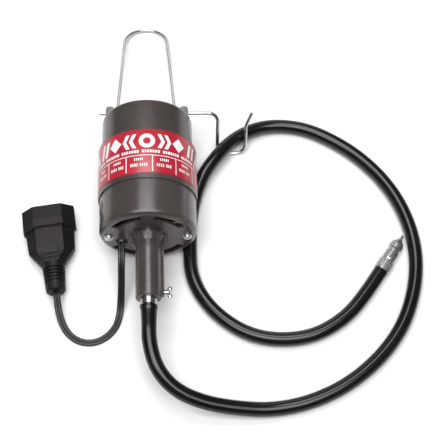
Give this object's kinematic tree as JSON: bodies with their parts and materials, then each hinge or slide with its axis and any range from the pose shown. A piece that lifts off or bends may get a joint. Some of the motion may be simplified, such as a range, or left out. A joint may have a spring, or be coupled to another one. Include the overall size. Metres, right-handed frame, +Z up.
{
  "type": "rotary tool with flexible shaft",
  "caption": "Hanging electric rotary tool: dark motor with a swinging bail and hook, a black flexible drive shaft ending in a handpiece joint, and a short mains lead with a moulded connector.",
  "frame": {"origin": "on the surface the tool lies on, under the middle of the motor, bail and hook", "axes": "+Z up from the surface, +Y along the motor from the nose tube to the hanging bail, +X towards the hook"},
  "size_m": [0.3526, 0.4055, 0.0858],
  "materials": {
    "casing_paint": "smooth glossy warm dark grey enamel",
    "label_film": "red printed film with white rules and blocks",
    "bracket_paint": "satin mid grey enamel",
    "bright_wire": "bright zinc plated steel wire",
    "fastener_steel": "zinc plated pan-head screws",
    "nickel_plate": "bright nickel plate",
    "bearing_steel": "ground bearing steel",
    "lamination_steel": "varnished silicon steel laminations",
    "enamelled_copper": "varnished enamelled copper wire",
    "commutator_copper": "turned copper segments",
    "fan_plastic": "black moulded nylon",
    "coupling_brass": "turned brass",
    "holder_brass": "drawn brass tube",
    "carbon": "carbon graphite",
    "spring_steel": "oiled spring steel",
    "cap_plastic": "black phenolic moulding",
    "capacitor_plastic": "yellow epoxy case",
    "lead_insulation": "blue wire insulation",
    "cord_rubber": "satin black flexible jacket",
    "sheath_rubber": "satin black rubber hose",
    "connector_plastic": "satin black moulding",
    "insert_plastic": "black phenolic insert",
    "contact_brass": "spring brass sleeves"
  },
  "bodies": {
    "motor_body": {"top_cover": "casing_paint", "field_housing": "casing_paint", "label_band": "label_film", "lower_bell": "casing_paint", "nose_tube": "casing_paint", "bell_bolts": "fastener_steel", "hanger_bracket": "bracket_paint", "bracket_screws": "fastener_steel", "upper_bearing_outer_race": "bearing_steel", "lower_bearing_outer_race": "bearing_steel", "stator_core": "lamination_steel", "field_coil_upper": "enamelled_copper", "field_coil_lower": "enamelled_copper", "brush_holder_left": "holder_brass", "brush_holder_right": "holder_brass", "carbon_brush_left": "carbon", "carbon_brush_right": "carbon", "brush_spring_left": "spring_steel", "brush_spring_right": "spring_steel", "brush_cap_left": "cap_plastic", "brush_cap_right": "cap_plastic", "suppression_capacitor": "capacitor_plastic", "lead_wires": "lead_insulation", "cord_grommet": "cord_rubber", "motor_end_ferrule": "nickel_plate", "motor_end_sleeve": "sheath_rubber", "flex_sheath": "sheath_rubber", "drive_core": "spring_steel", "handpiece_ferrule": "nickel_plate", "slip_joint_body": "nickel_plate", "tip_bush": "coupling_brass", "power_cord": "cord_rubber", "connector_boot": "connector_plastic", "connector_shell": "connector_plastic", "connector_insert": "insert_plastic", "contact_sleeves": "contact_brass"},
    "armature": {"armature_shaft": "bearing_steel", "armature_core": "lamination_steel", "armature_winding": "enamelled_copper", "commutator": "commutator_copper", "cooling_fan": "fan_plastic", "shaft_coupling": "coupling_brass", "drive_key": "bearing_steel", "upper_bearing_inner_race": "bearing_steel", "lower_bearing_inner_race": "bearing_steel"},
    "upper_ball_cage": {"upper_bearing_balls": "bearing_steel"},
    "lower_ball_cage": {"lower_bearing_balls": "bearing_steel"},
    "drive_tip": {"drive_tip": "bearing_steel"},
    "hanger_bail": {"hanger_bail": "bright_wire"},
    "hook_rod": {"hook_rod": "bright_wire"},
    "thumb_screw_shank": {"thumb_screw_shank": "nickel_plate"},
    "thumb_screw_wings": {"thumb_screw_wings": "nickel_plate"}
  },
  "joints": [
    {"name": "armature_spin", "type": "hinge", "parent": "motor_body", "child": "armature", "pos_m": [-0.0268, -0.03665, 0.0428], "axis": [0, -1, 0], "continuous": true},
    {"name": "upper_cage_spin", "type": "hinge", "parent": "motor_body", "child": "upper_ball_cage", "pos_m": [-0.0268, 0.01235, 0.0428], "axis": [0, -1, 0], "continuous": true},
    {"name": "lower_cage_spin", "type": "hinge", "parent": "motor_body", "child": "lower_ball_cage", "pos_m": [-0.0268, -0.08465, 0.0428], "axis": [0, -1, 0], "continuous": true},
    {"name": "drive_tip_spin", "type": "hinge", "parent": "motor_body", "child": "drive_tip", "pos_m": [0.19046, -0.09334, 0.00695], "axis": [0.5721, 0.8202, 0], "continuous": true},
    {"name": "bail_swing", "type": "hinge", "parent": "motor_body", "child": "hanger_bail", "pos_m": [-0.0268, 0.03065, 0.0428], "axis": [0.9986, 0, -0.0523], "range_deg": [-85, 120]},
    {"name": "hook_swing", "type": "hinge", "parent": "motor_body", "child": "hook_rod", "pos_m": [-0.0268, 0.03065, 0.0428], "axis": [0.9986, 0, -0.0523], "range_deg": [-0.4, 0.4]},
    {"name": "thumb_screw_feed", "type": "slide", "parent": "motor_body", "child": "thumb_screw_shank", "axis": [0.9986, 0, -0.0523], "range_m": [0, 0.0021]},
    {"name": "thumb_screw_turn", "type": "hinge", "parent": "thumb_screw_shank", "child": "thumb_screw_wings", "pos_m": [-0.01182, -0.14615, 0.04201], "axis": [0.9986, 0, -0.0523], "range_deg": [0, 1080]}
  ],
  "couplings": [
    {"joint": "upper_cage_spin", "follows": "armature_spin", "ratio": 0.3651},
    {"joint": "lower_cage_spin", "follows": "armature_spin", "ratio": 0.3651},
    {"joint": "drive_tip_spin", "follows": "armature_spin", "ratio": 1},
    {"joint": "thumb_screw_turn", "follows": "thumb_screw_feed", "rad_per_m": 8976}
  ]
}
